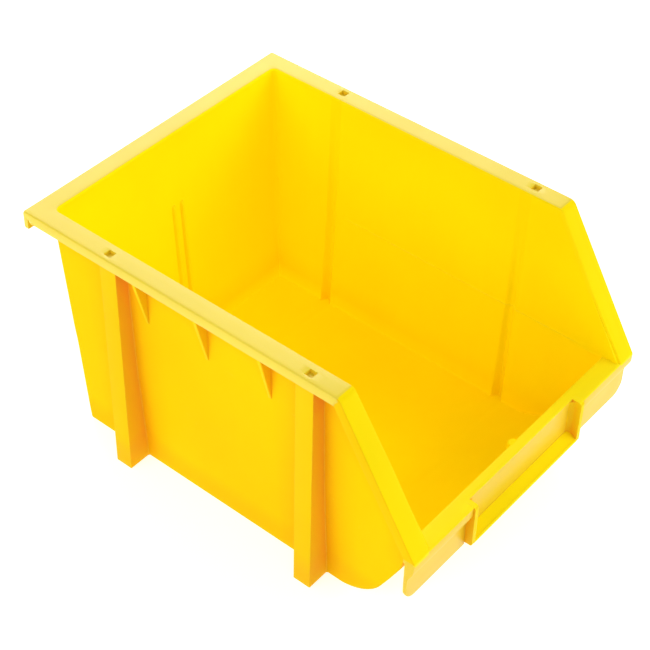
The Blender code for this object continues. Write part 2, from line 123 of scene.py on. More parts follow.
# posts, the wall grooves behind them, and the sockets in the rim above them
POSTS = {
    name: box(name) for name in (
        "stacking_post_front_left", "stacking_post_front_right",
        "stacking_post_rear_left", "stacking_post_rear_right",
    )
}
POST_Y = [
    middle(low.y, high.y) for low, high in
    (POSTS["stacking_post_front_right"], POSTS["stacking_post_rear_right"])
]
GROOVE_Y = [POST_Y[0] + 0.7, POST_Y[1] + 0.1]
GROOVE_TOP, GROOVE_DEPTH = 156.5, 4.0
SOCKET_Y = [POST_Y[0] - 1.3, POST_Y[1] + 0.7]
SOCKET_X, SOCKET_SIZE, SOCKET_DEPTH = 99.5, 4.8, 2.2


# ------------------------------------------------------------------ arithmetic and outlines
def lerp(start, end, part):
    return start + (end - start) * part


def clamp(value, low=0.0, high=1.0):
    return max(low, min(high, value))


def smooth(start, end, value):
    part = clamp((value - start) / (end - start))
    return part * part * (3 - 2 * part)


def leg(radius, offset):
    """Height of a circle over its centre line at this offset from the centre."""
    return math.sqrt(max(0.0, radius ** 2 - offset ** 2))


def arc(centre_x, centre_y, radius, start, end, steps):
    angles = [math.radians(lerp(start, end, i / steps)) for i in range(steps + 1)]
    return [(centre_x + radius * math.cos(a), centre_y + radius * math.sin(a)) for a in angles]


def both_sides(values):
    """Values that start at the middle, mirrored to the negative side."""
    return [-value for value in reversed(values[1:])] + values


def level(plan, z):
    """An (x, y) outline at one height."""
    return [(x, y, z) for x, y in plan]


def upright(outline, x):
    """A (y, z) outline at one x."""
    return [(x, y, z) for y, z in outline]


def side_out(z):
    """Outer face of the right side wall."""
    if z < KINK_Z:
        return lerp(SIDE_LOW, SIDE_KINK, z / KINK_Z)
    return lerp(SIDE_KINK, SIDE_TOP, (z - KINK_Z) / (HEIGHT - KINK_Z))


def back_out(z):
    """Outer face of the rear wall."""
    return lerp(BACK_LOW, BACK_TOP, z / HEIGHT)


# ------------------------------------------------------------------ mesh tools
@contextmanager
def editing(mesh):
    edit = bmesh.new()
    edit.from_mesh(mesh)
    yield edit
    edit.to_mesh(mesh)
    edit.free()


def weld(edit):
    bmesh.ops.remove_doubles(edit, verts=edit.verts, dist=0.000002)
    bmesh.ops.dissolve_degenerate(edit, dist=0.000001, edges=edit.edges)


def loft(name, rings):
    """Closed rings of points joined side by side, with a cap at each end."""
    count = len(rings[0])
    points = [(x / 1000, y / 1000, z / 1000) for ring in rings for x, y, z in ring]
    faces = []
    for i in range(len(rings) - 1):
        here, there = i * count, (i + 1) * count
        for j in range(count):
            k = (j + 1) % count
            faces.append((here + j, here + k, there + k, there + j))
    faces.append(tuple(range(count)))
    faces.append(tuple((len(rings) - 1) * count + j for j in range(count)))
    mesh = bpy.data.meshes.new(name)
    mesh.from_pydata(points, [], faces)
    with editing(mesh) as edit:
        weld(edit)
        bmesh.ops.recalc_face_normals(edit, faces=edit.faces)
    piece = bpy.data.objects.new(name, mesh)
    bpy.context.scene.collection.objects.link(piece)
    return piece


def prism(name, outline, ends):
    """A (y, z) outline carried along x between two ends."""
    return loft(name, [upright(outline, x) for x in ends])


def column(name, plan, ends):
    """An (x, y) outline carried along z between two ends."""
    return loft(name, [level(plan, z) for z in ends])


def boolean(piece, tool, operation="DIFFERENCE"):
    """Applies a boolean to the piece and removes the tool."""
    modifier = piece.modifiers.new("bool", "BOOLEAN")
    modifier.operation = operation
    modifier.solver = "EXACT"
    modifier.object = tool
    bpy.context.view_layer.update()
    graph = bpy.context.evaluated_depsgraph_get()
    mesh = bpy.data.meshes.new_from_object(piece.evaluated_get(graph))
    old = piece.data
    piece.modifiers.clear()
    piece.data = mesh
    bpy.data.meshes.remove(old)
    mesh.name = piece.name
    bpy.data.objects.remove(tool, do_unlink=True)


def round_edges(piece, width, pick, segments=3):
    """Rounds the edges that pick(midpoint in mm, face angle in degrees, edge) accepts."""
    with editing(piece.data) as edit:
        edit.normal_update()
        chosen = []
        for edge in edit.edges:
            if len(edge.link_faces) != 2:
                continue
            mid = (edge.verts[0].co + edge.verts[1].co) * 500
            if pick(mid, math.degrees(edge.calc_face_angle(0.0)), edge):
                chosen.append(edge)
        if chosen:
            bmesh.ops.bevel(
                edit, geom=chosen, offset=width / 1000, offset_type="OFFSET",
                segments=segments, profile=0.5, affect="EDGES", clamp_overlap=True,
            )


def shade(piece, angle=32.0):
    """Smooth shading, sharp where faces meet at more than the angle."""
    with editing(piece.data) as edit:
        weld(edit)
    piece.data.shade_smooth()
    piece.data.set_sharp_from_angle(angle=math.radians(angle))
    return piece


# ------------------------------------------------------------------ the tub
STEP_Z = LIP_Z - 1.3             # hidden inside the lip: above it only side and rear walls go on
OUTER_FOOT, INNER_FOOT = 0.8, 0.9   # rounding at the foot of the walls
STUB_CORNER = 0.3                # front corner radius above the step

GROOVE_OFFSETS = both_sides(
    [0, 0.7, 1.4, 1.9, 2.4, 2.9, 3.4, 3.8, 4.2, 4.6, 5.0, 5.4, 6.2])
STATIONS_START, STATIONS_END = -72.5, 88.0
SIDE_STATIONS = (
    [STATIONS_START] + [GROOVE_Y[0] + offset for offset in GROOVE_OFFSETS]
    + [-48.0, -30.0, -12.0, 6.0, 24.0, 42.0, 58.0, 63.0, 66.0, 68.0]
    + [GROOVE_Y[1] + offset for offset in GROOVE_OFFSETS] + [STATIONS_END]
)


def front_y(z, inset=0.0):
    """Front face of the tub at height z: scoop, then two straight runs. The inset moves it
    inwards, square to the surface."""
    end = math.radians(SCOOP_END)
    radius = SCOOP_RADIUS - inset
    arc_top = SCOOP_RADIUS - radius * math.cos(end)
    if z <= arc_top:
        cosine = clamp((SCOOP_RADIUS - z) / radius, -1.0, 1.0)
        return SCOOP_Y - radius * math.sin(math.acos(cosine))
    lean = math.tan(math.pi / 2 - end)
    outer_y = SCOOP_Y - SCOOP_RADIUS * math.sin(end)
    outer_z = SCOOP_RADIUS * (1 - math.cos(end))
    bend_y = outer_y - (SCOOP_BEND_Z - outer_z) * lean
    run = (bend_y - LIP_Y) / (LIP_Z - SCOOP_BEND_Z)
    lower = SCOOP_Y - radius * math.sin(end) - (z - arc_top) * lean
    upper = bend_y - (z - SCOOP_BEND_Z) * run + inset * math.sqrt(1 + run * run)
    # soft change between the runs
    blend_height, blend_width = 0.35, 1.6
    return max(lower, upper) + blend_height * math.exp(-((lower - upper) / blend_width) ** 2)


def front_corner(z):
    return max(0.5, min(FRONT_CORNER, 0.03 * z))


def rear_corner(z):
    """The rear upright corners are crisp at the floor and round off going up."""
    return max(0.5, min(REAR_CORNER, CORNER_GROWTH * z))


def inner_rear_corner(z):
    return max(0.5, min(REAR_CORNER - 1.0, rear_corner(z) - 0.6))


def groove(z):
    return GROOVE_DEPTH * clamp(1 - z / GROOVE_TOP)


def groove_weight(y, flat, wide):
    """1 over the flat bottom of a groove, falling to 0 at its full half width."""
    return max(smooth(wide, flat, abs(y - centre)) for centre in GROOVE_Y)


def side_x(y, z, half, inner):
    """A side face with its grooves; between the ends the inner one is slightly thickened."""
    if not inner:
        return half + groove(z) * groove_weight(y, 4.0, 5.3)
    x = half + groove(z) * groove_weight(y, 0.5, 4.1)
    thick = 0.42 * smooth(12.0, 70.0, z) * (1.0 if z < KINK_Z - 0.3 else 0.0)
    return x - thick * smooth(68.0, 65.0, y) * smooth(-122.0, -104.0, y)


def tub_ring(z, inner, half, front, back, front_r, back_r):
    """One level of the tub: a rounded rectangle whose sides carry the post grooves."""
    front_start, back_end = front + front_r, back - back_r
    stations = [lerp(front_start, STATIONS_START, i / 7) for i in range(7)] + SIDE_STATIONS
    stations += [lerp(STATIONS_END, back_end, i / 3) for i in range(1, 4)]
    right = [(side_x(y, z, half, inner), y) for y in stations]
    front_x = side_x(front_start, z, half, inner) - front_r
    back_x = side_x(back_end, z, half, inner) - back_r
    plan = [(lerp(-front_x, front_x, i / 12), front) for i in range(12)]
    plan += arc(front_x, front_start, front_r, -90, 0, 8)[:-1]
    plan += right
    plan += arc(back_x, back_end, back_r, 0, 90, 10)[1:]
    plan += [(lerp(back_x, -back_x, i / 12), back) for i in range(1, 12)]
    plan += arc(-back_x, back_end, back_r, 90, 180, 10)[:-1]
    plan += [(-x, y) for x, y in reversed(right)]
    plan += arc(-front_x, front_start, front_r, 180, 270, 8)[1:-1]
    return level(plan, z)


def arc_levels(base, radius, angles):
    """Heights reached along an arc that starts level at the base."""
    return {base + radius * (1 - math.cos(math.radians(a))) for a in angles}


def outer_rings():
    levels = {0.0, 26.0, 32.0, 38.0, 41.0, 44.0, 47.0, 52.0, 60.0, 68.0, STEP_Z}
    levels |= {KINK_Z, 90.0, 105.0, 120.0, 135.0, 150.0, 165.0}
    levels |= arc_levels(0.0, OUTER_FOOT, (30, 50, 70, 90))
    levels |= arc_levels(0.0, SCOOP_RADIUS, range(4, 65, 4))
    rings = []
    for z in sorted(levels):
        half, back = side_out(min(z, HEIGHT)), back_out(min(z, HEIGHT))
        inset = OUTER_FOOT - leg(OUTER_FOOT, OUTER_FOOT - z) if z < OUTER_FOOT else 0.0
        if z <= STEP_Z:
            rings.append(tub_ring(
                z, False, half - inset, front_y(z), back - inset,
                front_corner(z), rear_corner(z),
            ))
        if z == STEP_Z:
            z += 0.2
        if z > STEP_Z:
            rings.append(tub_ring(
                z, False, half, LIP_FRONT_Y + 0.5, back, STUB_CORNER, rear_corner(z)))
    return rings


def inner_rings():
    step = STEP_Z - 0.1
    open_front = -150.0          # beyond the outer shell, so the front is cut open
    radius = SCOOP_RADIUS - WALL
    levels = {WALL, 28.0, 34.0, 39.0, 42.0, 45.0, 48.0, 53.0, 60.0, 68.0, step}
    levels |= {KINK_Z - 0.35, KINK_Z + 0.05, 82.0, 90.0, 105.0, 120.0, 135.0, 150.0, 156.5, 166.0}
    levels |= arc_levels(WALL, INNER_FOOT, (15, 30, 45, 60, 75, 90))
    levels |= {SCOOP_RADIUS - radius * math.cos(math.radians(a)) for a in range(4, 65, 4)}
    rings = []
    for z in sorted(levels):
        rise = z - WALL
        inset = INNER_FOOT - leg(INNER_FOOT, INNER_FOOT - rise) if rise < INNER_FOOT else 0.0
        half = side_out(min(z, HEIGHT)) - WALL - inset
        back = back_out(min(z, HEIGHT)) - WALL - inset
        corner = inner_rear_corner(z)
        if z <= STEP_Z:
            rings.append(tub_ring(
                z, True, half, front_y(z, WALL), back, front_corner(z) * 0.6, corner))
        if z == step:
            z = STEP_Z + 0.1
        if z > STEP_Z:
            rings.append(tub_ring(z, True, half, open_front, back, STUB_CORNER, corner))
    return rings


# the slope of the side rims, in the (y, z) plane
SLOPE_TOP = Vector((RIM_CORNER_Y, HEIGHT))
SLOPE_FOOT = Vector((LIP_FRONT_Y, LIP_Z))
SLOPE = (SLOPE_FOOT - SLOPE_TOP).normalized()
SLOPE_NORMAL = Vector((-SLOPE.y, SLOPE.x))       # down, into the bin
if SLOPE_NORMAL.y > 0:
    SLOPE_NORMAL = -SLOPE_NORMAL


def make_tub():
    tub = loft("tub_shell", outer_rings())
    boolean(tub, loft("tub_inside", inner_rings()))
    # trim the walls so that they end inside the thickness of the rim
    sunk, beyond = 1.3, 60
    head_z, foot_z = HEIGHT - sunk, LIP_Z - 4.0
    start = SLOPE_TOP + SLOPE_NORMAL * sunk
    head = start + SLOPE * ((head_z - start.y) / SLOPE.y)
    foot = start + SLOPE * ((foot_z - start.y) / SLOPE.y)
    boolean(tub, prism("above_walls", [
        (foot.x, foot.y), (head.x, head.y), (REAR + beyond, head_z),
        (REAR + beyond, HEIGHT + beyond), (FRONT - beyond, HEIGHT + beyond),
        (FRONT - beyond, foot.y),
    ], (-160.0, 160.0)))
    return shade(tub, 28.0)


def tub_tone(normal, centre):
    """Picks a lit or shaded copy of the plastic: 0 outside, 1 inside, 2 in the hollow behind a post.
    """
    z = clamp(centre.z, 0.0, HEIGHT)
    half = side_out(z) - WALL * 0.6
    in_plan = (
        abs(centre.x) < half + groove(z) + 0.8 and centre.y < back_out(z) - WALL * 0.6
    )
    faces_in = (
        normal.x * -centre.x > 0.03 * abs(centre.x)
        or normal.y < -0.3 and centre.y > 90.0
        or normal.z > 0.5
        or normal.y > 0.2 and centre.y < -60.0
    )
    if not (in_plan and faces_in and centre.z > WALL * 0.6):
        return 0
    in_groove = min(abs(centre.y - y) for y in GROOVE_Y) < 4.0
    return 2 if abs(centre.x) > 75.0 and in_groove else 1


# ------------------------------------------------------------------ the rim
DOWN = (0, 0, -1)
TURN = math.atan2(-SLOPE.y, -SLOPE.x)            # angle from the level rim to the slope
TURN_RADIUS = 5.0
TURN_REACH = TURN_RADIUS * math.tan(TURN / 2)
FOOT_RADIUS = 0.9                                # rounding where the slope meets the lip
SECTION_INNER = 5                                # points on a rim section's inner edge


def rim_section(length, skirt):
    """Rim cross-section: distance from the inner edge, and depth under the top face."""
    inner, outer = 0.8, 0.9
    bottom = min(0.7, (skirt - WALL) * 0.4)
    under = clamp(skirt - bottom - WALL - 0.1, 0.15, 1.0)
    skirt_in = length - SKIRT_THICK
    points = [(0.0, WALL)]
    points += arc(inner, inner, inner, 180, 270, 3)
    points += [(length * 0.35, 0.0), (length * 0.7, 0.0)]
    points += arc(length - outer, outer, outer, 270, 360, 5)
    points += arc(length - bottom, skirt - bottom, bottom, 0, 90, 3)
    points += arc(skirt_in + bottom, skirt - bottom, bottom, 90, 180, 3)
    points += arc(skirt_in - under, WALL + under, under, 360, 270, 3)
    return points


def rim_station(inner, outer, normal, skirt, draft=None, shift=0.0):
    """Section placed between an inner and an outer point of the top surface."""
    inner, outer = Vector(inner), Vector(outer)
    across = outer - inner
    length = across.length
    across.normalize()
    ring = []
    for i, (along, depth) in enumerate(rim_section(length, skirt)):
        point = inner + across * along + Vector(normal) * depth
        if i < SECTION_INNER:
            if draft is None:    # on a side: flush with the leaning side wall
                point.x = side_out(min(point.z, HEIGHT)) - WALL - 0.03 + shift + along
            else:
                point -= across * (draft * depth + 0.03)
        ring.append(tuple(point))
    return ring


def side_station(y, z, normal, skirt, half=HALF_WIDTH, shift=0.0):
    return rim_station((RIM_INNER_X, y, z), (half, y, z), normal, skirt, None, shift)


def rear_stations():
    """From the middle of the rear round its right corner."""
    side_draft = (SIDE_TOP - SIDE_KINK) / (HEIGHT - KINK_Z)
    rear_draft = (BACK_TOP - BACK_LOW) / HEIGHT
    rear_skirt = 3.6
    inner_y = BACK_TOP - WALL
    inner_r, outer_r = inner_rear_corner(HEIGHT), 0.8
    centre_x, centre_y = RIM_INNER_X - inner_r, inner_y - inner_r
    stations = [
        rim_station((x, inner_y, HEIGHT), (x, REAR, HEIGHT), DOWN, rear_skirt, rear_draft)
        for x in (0.0, 25.0, 50.0, 70.0)
    ]
    # outer points, each paired with an angle on the inner corner
    outer = [(centre_x + offset, REAR) for offset in (0, 7, 13)]
    outer += arc(HALF_WIDTH - outer_r, REAR - outer_r, outer_r, 90, 0, 6)
    outer += [(HALF_WIDTH, REAR - offset) for offset in (2.5, 3.1, 3.8, 4.5, 5.2, 7.5, 12.0)]
    outer += [(HALF_WIDTH, centre_y)]
    angles = [90, 82, 72] + [lerp(62, 34, i / 6) for i in range(7)]
    angles += [31, 28, 25, 22, 19, 13, 6, 0]
    for (x, y), angle in zip(outer, angles):
        cos, sin = math.cos(math.radians(angle)), math.sin(math.radians(angle))
        skirt = rear_skirt
        if y <= REAR - 0.01:     # the skirt deepens just round the corner
            part = clamp((y - (REAR - 5.0)) / 4.6)
            skirt = lerp(SKIRT_DEPTH, rear_skirt, math.sin(part * math.pi / 2))
        stations.append(rim_station(
            (centre_x + inner_r * cos, centre_y + inner_r * sin, HEIGHT), (x, y, HEIGHT),
            DOWN, skirt, lerp(side_draft, rear_draft, sin * sin),
        ))
    return stations


def side_stations():
    """The level side, then the rounded turn onto the slope."""
    stations = [
        side_station(y, HEIGHT, DOWN, SKIRT_DEPTH)
        for y in (108.0, 90.0, 84.0, 77.0, 70.0, 50.0, 30.0, 10.0, -10.0, -30.0, -50.0,
                  -57.0, -64.0, -71.0, -77.0)
    ]
    for i in range(11):
        angle = TURN * i / 10
        cos, sin = math.cos(angle), math.sin(angle)
        stations.append(side_station(
            RIM_CORNER_Y + TURN_REACH - TURN_RADIUS * sin,
            HEIGHT - TURN_RADIUS + TURN_RADIUS * cos,
            (0, sin, -cos), lerp(SKIRT_DEPTH, SLOPE_SKIRT, i / 10),
        ))
    return stations


def slope_stations():
    """Down the slope, then over its edge into the front of the lip."""
    total = (SLOPE_FOOT - SLOPE_TOP).length
    tail = FOOT_RADIUS * math.tan((math.pi / 2 - TURN) / 2)
    foot_shift = 1.8             # the inner edge moves outwards towards the foot
    foot_half = HALF_WIDTH - 0.02
    stations = []
    for part in (0.12, 0.3, 0.5, 0.7, 0.86):
        point = SLOPE_TOP + SLOPE * lerp(TURN_REACH, total - tail, part)
        stations.append(side_station(
            point.x, point.y, (0, SLOPE_NORMAL.x, SLOPE_NORMAL.y), SLOPE_SKIRT,
            shift=foot_shift * smooth(0.5, 1.0, part),
        ))
    centre_y = LIP_FRONT_Y + FOOT_RADIUS - 0.03
    centre_z = LIP_Z - tail
    for i in range(6):
        angle = lerp(TURN, math.pi / 2, i / 5)
        cos, sin = math.cos(angle), math.sin(angle)
        stations.append(side_station(
            centre_y - FOOT_RADIUS * sin, centre_z + FOOT_RADIUS * cos,
            (0, sin, -cos), SLOPE_SKIRT - i * 0.2, foot_half, foot_shift,
        ))
    stations.append(side_station(
        centre_y - FOOT_RADIUS, LIP_Z - 2.2, (0, 1, 0), SKIRT_DEPTH - 1.5,
        foot_half, foot_shift,
    ))
    return stations


def socket_cutter(side, centre_y):
    """Square stacking socket, slightly tapered and rounded in plan."""
    radius = 0.3
    rings = []
    for z, half in ((HEIGHT - SOCKET_DEPTH, SOCKET_SIZE / 2 - 0.1),
                    (HEIGHT + 2.0, SOCKET_SIZE / 2 + 0.2)):
        inset = half - radius
        plan = []
        for way_x, way_y, angle in ((1, 1, 0), (-1, 1, 90), (-1, -1, 180), (1, -1, 270)):
            plan += arc(side * SOCKET_X + way_x * inset, centre_y + way_y * inset,
                        radius, angle, angle + 90, 3)
        rings.append(level(plan, z))
    return loft("socket_cutter", rings)


def near_socket(point):
    return (abs(abs(point.x) - SOCKET_X) < 2.8
            and min(abs(point.y - y) for y in SOCKET_Y) < 2.8)


def make_rim():
    right = rear_stations() + side_stations() + slope_stations()
    left = [[(-x, y, z) for x, y, z in ring] for ring in reversed(right[1:])]
    rim = loft("perimeter_rim", left + right)
    for side in (-1, 1):
        for y in SOCKET_Y:
            boolean(rim, socket_cutter(side, y))
    round_edges(rim, 0.15, lambda mid, angle, edge: (
        angle > 60 and abs(mid.z - HEIGHT) < 0.01 and near_socket(mid)
    ), 2)
    return shade(rim, 30.0)


def rim_tone(normal, centre):
    """Picks a lit or shaded copy of the plastic: 2 on the skirts of the slopes, 1 on the slopes and
    the inner edge, 0 elsewhere.
    """
    if (abs(normal.x) > 0.5 and abs(centre.x) > HALF_WIDTH - 1.5
            and centre.y < RIM_CORNER_Y + 1.5):
        return 2
    if near_socket(centre):
        return 0
    if normal.y < -0.35 and centre.y < RIM_CORNER_Y + 4.0:
        return 1
    return normal.z < 0.95 and (
        normal.x * centre.x < -0.2 * abs(centre.x) and abs(centre.x) < RIM_INNER_X + 1.0
        or normal.y < -0.2 and 100.0 < centre.y < BACK_TOP - WALL + 1.0
    )


def make_hook():
    """The plate that hangs from the rear rail, with rounded corners at its two ends."""
    edge_r, corner_r = 0.7, 0.9
    top, bend = HEIGHT - 1.2, HEIGHT - 4.5
    end_x = HALF_WIDTH - 0.02
    front, back = REAR - HOOK_THICK, REAR - 0.02
    stations = [0.0, 40.0, 80.0] + [
        end_x - corner_r + corner_r * math.sin(math.radians(a)) for a in range(0, 91, 15)
    ]
    rings = []
    for x in both_sides(stations):
        over = max(0.0, abs(x) - (end_x - corner_r))
        low = HOOK_LOW + corner_r - leg(corner_r, over)
        outline = [(front, top), (front, bend)]
        outline += arc(front + edge_r, low + edge_r, edge_r, 180, 270, 4)
        outline += arc(back - edge_r, low + edge_r, edge_r, 270, 360, 4)
        outline += [(back, bend), (back, top)]
        rings.append(upright(outline, x))
    hook = loft("rear_hanging_hook", rings)
    round_edges(hook, 0.4, lambda mid, angle, edge: (
        angle > 50 and abs(abs(mid.x) - end_x) < 0.01 and mid.z < top - 0.1
    ))
    return shade(hook)


# ------------------------------------------------------------------ posts and gussets
# the hollow in a post's back: (half width, share of the groove depth)
POST_WELL = ((4.6, 0.0), (4.25, 0.2), (3.9, 0.6), (3.6, 0.95), (3.4, 1.0))


def make_post(name):
    low, high = POSTS[name]
    side = 1 if high.x > 0 else -1
    row = 1 if low.y > 0 else 0
    centre_y, half = middle(low.y, high.y), (high.y - low.y) / 2
    foot_x = max(abs(low.x), abs(high.x))
    well_y = GROOVE_Y[row] - centre_y
    flare, corner, root = 0.6, 0.45, 1.2
    levels = [(0.0, 0.12)]       # (height, how far the foot is drawn in)
    levels += [(z, 0.0) for z in (
        0.2, 4.0, 12.0, 25.0, 40.0, 60.0, KINK_Z, 95.0, 115.0, 135.0, 150.0, 156.5,
        HEIGHT - WALL + 0.15,
    )]
    rings = []
    for z, cut in levels:
        wall_x = side_out(z)
        far_x = lerp(foot_x, HALF_WIDTH - SKIRT_THICK + 0.4, z / HEIGHT)
        edge = [(wall_x - root, -half - flare + cut), (wall_x + 0.02, -half - flare + cut)]
        edge += [
            (wall_x + flare - flare * math.cos(angle), -half - flare + flare * math.sin(angle) + cut)
            for angle in map(math.radians, (22, 45, 68, 90))
        ]
        edge += arc(far_x - corner - cut, -half + corner + cut, corner, -90, 0, 3)
        well = [(wall_x - root + groove(z) * share, y) for y, share in POST_WELL]
        plan = edge + [(x, -y) for x, y in reversed(edge)]
        plan += [(x, y + well_y) for x, y in well]
        plan += [(x, -y + well_y) for x, y in reversed(well)]
        rings.append([(side * x, centre_y + y, z) for x, y in plan])
    return shade(loft(name.replace("stacking_post", "post") + "_form", rings))


def make_gusset(name):
    """A fin under the rim that tapers down to its tip on the side wall."""
    low, high = box(name)
    side = 1 if high.x > 0 else -1
    tip = low.z
    centre_y, top_half = middle(low.y, high.y), (high.y - low.y) / 2
    skirt_z = HEIGHT - SKIRT_DEPTH
    top_reach = HALF_WIDTH - SKIRT_THICK + 0.6 - side_out(skirt_z)
    rings = []
    for z in (tip - 1.2, tip, tip + 2, 130.0, 140.0, 148.0, skirt_z - 0.5, skirt_z + 3,
              HEIGHT - WALL + 0.8):
        wall_x = side_out(z)
        reach = lerp(0.5, top_reach, clamp((z - tip) / (skirt_z - 1.0 - tip)))
        if z < tip:
            reach = -0.5
        half = lerp(top_half * 0.8, top_half, clamp((z - tip) / 35.0))
        radius = min(0.4, max(0.05, (reach + 0.5) * 0.5))
        plan = [(wall_x - 1.0, -half)]
        plan += arc(wall_x + reach - radius, -half + radius, radius, -90, 0, 3)
        plan += arc(wall_x + reach - radius, half - radius, radius, 0, 90, 3)
        plan += [(wall_x - 1.0, half)]
        rings.append([(side * x, centre_y + y, z) for x, y in plan])
    return shade(loft(name + "_form", rings))


# ------------------------------------------------------------------ front lip and label holder
def lip_section(x):
    """(y, z) outline of the lip and apron; the apron's lower corners are rounded."""
    top_r, edge_r = 1.2, 0.8
    inner_y = front_y(LIP_Z - 1.4, WALL) - 0.03
    over = max(0.0, abs(x) - (HALF_WIDTH - APRON_RADIUS))
    low = APRON_BOTTOM + APRON_RADIUS - leg(APRON_RADIUS, over)
    bend = max(60.0, low + 3.0)
    back = APRON_Y + APRON_THICK
    outline = [(inner_y + 0.12, LIP_Z - WALL), (inner_y, LIP_Z - 1.3)]
    outline += arc(inner_y - top_r, LIP_Z - top_r, top_r, 12, 90, 4)
    outline += [(-131.0, LIP_Z), (-134.0, LIP_Z)]
    outline += arc(LIP_FRONT_Y + top_r, LIP_Z - top_r, top_r, 90, 180, 5)
    # the roll falls back into the flat of the apron in a soft S
    for part in (0.0, 0.2, 0.4, 0.6, 0.8, 1.0):
        y = lerp(LIP_FRONT_Y + 0.05, APRON_Y, smooth(0.0, 1.0, part))
        outline.append((y, lerp(70.5, bend, part)))
    outline += arc(APRON_Y + edge_r, low + edge_r, edge_r, 180, 270, 3)
    outline += arc(back - edge_r, low + edge_r, edge_r, 270, 360, 3)
    outline += arc(back + edge_r, LIP_Z - WALL - edge_r, edge_r, 180, 90, 3)
    return outline


def make_lip():
    """Lip over the front wall, rolled over its front edge into the hanging apron."""
    stations = [0.0, 20.0, 40.0, 60.0, 75.0, 88.0]
    stations += [
        HALF_WIDTH - APRON_RADIUS + APRON_RADIUS * math.sin(math.radians(a))
        for a in (0, 9, 18, 27, 36, 45, 53, 61, 69, 76, 90)
    ]
    lip = loft("front_lip", [upright(lip_section(x), x) for x in both_sides(stations)])
    round_edges(lip, 0.5, lambda mid, angle, edge: (
        angle > 45 and abs(abs(mid.x) - HALF_WIDTH) < 0.01
    ))
    front = FRONT - 20
    boolean(lip, prism("label_recess", [
        (front, 20.0), (LABEL_BACK_Y, 20.0), (LABEL_BACK_Y, 95.0), (front, 95.0),
    ], (-LABEL_HALF, LABEL_HALF)))
    # outside the side walls only the rolled front goes on
    for side in (-1, 1):
        boolean(lip, prism("lip_end_trim", [
            (-131.8, 66.0), (-118.0, 66.0), (-118.0, 84.0), (-131.8, 84.0),
        ], (side * (side_out(LIP_Z) + 0.1), side * (HALF_WIDTH + 8))))
    # upright edges of the recess, then the top edge along its back
    round_edges(lip, 0.4, lambda mid, angle, edge: (
        angle > 40 and abs(abs(mid.x) - LABEL_HALF) < 0.01
        and abs(edge.verts[0].co.x - edge.verts[1].co.x) < 1e-5
        and mid.y < LABEL_BACK_Y - 0.3 and mid.y < APRON_Y + 0.5
    ), 2)
    round_edges(lip, 2.3, lambda mid, angle, edge: (
        angle > 60 and abs(mid.z - LIP_Z) < 0.01 and abs(mid.y - LABEL_BACK_Y) < 0.01
    ), 5)
    return shade(lip)


def make_label_backing():
    low, high = box("label_holder_back")
    left, right, front = low.x - 0.6, high.x + 0.6, low.y - 0.02
    backing = column("label_backing", [
        (left, front), (right, front), (right, high.y), (left, high.y),
    ], (low.z, LIP_Z - WALL + 0.1))
    round_edges(backing, 0.4, lambda mid, angle, edge: (
        angle > 30 and not (abs(mid.x) > abs(high.x) or mid.z > LIP_Z - 3)
    ), 2)
    return shade(backing)


def make_label_bar(label):
    low, high = box(f"label_holder_{label}_bar")
    bottom_r, top_r, fillet = 1.3, 2.6, 3.2
    bottom, top, root = low.z - 0.03, high.z - 0.03, high.y + 1.2
    outline = [(root, bottom)]
    outline += arc(low.y + bottom_r, bottom + bottom_r, bottom_r, 270, 180, 4)
    outline += arc(low.y + top_r, top - top_r, top_r, 180, 90, 6)
    outline += [(root, top)]
    bar = prism(f"label_bar_{label}", outline, (low.x - 0.04, high.x + 0.04))
    # flush with the lip on its outer side, so rounded there only below it
    outer, inner, way = (low.x, high.x, 1) if label == "left" else (high.x, low.x, -1)
    round_edges(bar, 0.7, lambda mid, angle, edge: (
        angle > 60 and mid.y < high.y + 1.0
        and min(abs(mid.x - low.x), abs(mid.x - high.x)) < 0.1
        and (abs(mid.x - outer) > 0.1 or mid.z < 71.0)
    ))
    # concave fillet in the corner with the backing
    plan = [(inner - way * 0.5, LABEL_BACK_Y + 0.8), (inner - way * 0.5, LABEL_BACK_Y - fillet)]
    for i in range(9):
        angle = math.radians(90 * i / 8)
        plan.append((inner + way * (fillet - fillet * math.cos(angle)) + way * 0.02,
                     LABEL_BACK_Y - fillet + fillet * math.sin(angle) - 0.03))
    plan.append((inner + way * (fillet + 0.02), LABEL_BACK_Y + 0.8))
    boolean(bar, column(f"bar_fillet_{label}", plan, (50.5, LIP_Z - 1.3)), "UNION")
    return shade(bar)


def make_label_ledge():
    low, high = box("label_holder_ledge")
    radius, root = 0.8, high.y + 1.2
    outline = [(root, low.z), (root, high.z + 0.25)]
    outline += [(high.y, high.z + 0.2), (high.y - 0.5, high.z - 0.3)]
    outline += arc(low.y + radius, high.z - 4.2, radius, 70, 180, 4)
    outline += arc(low.y + radius, low.z + radius, radius, 180, 270, 4)
    return shade(prism("label_ledge", outline, (low.x - 0.8, high.x + 0.8)))


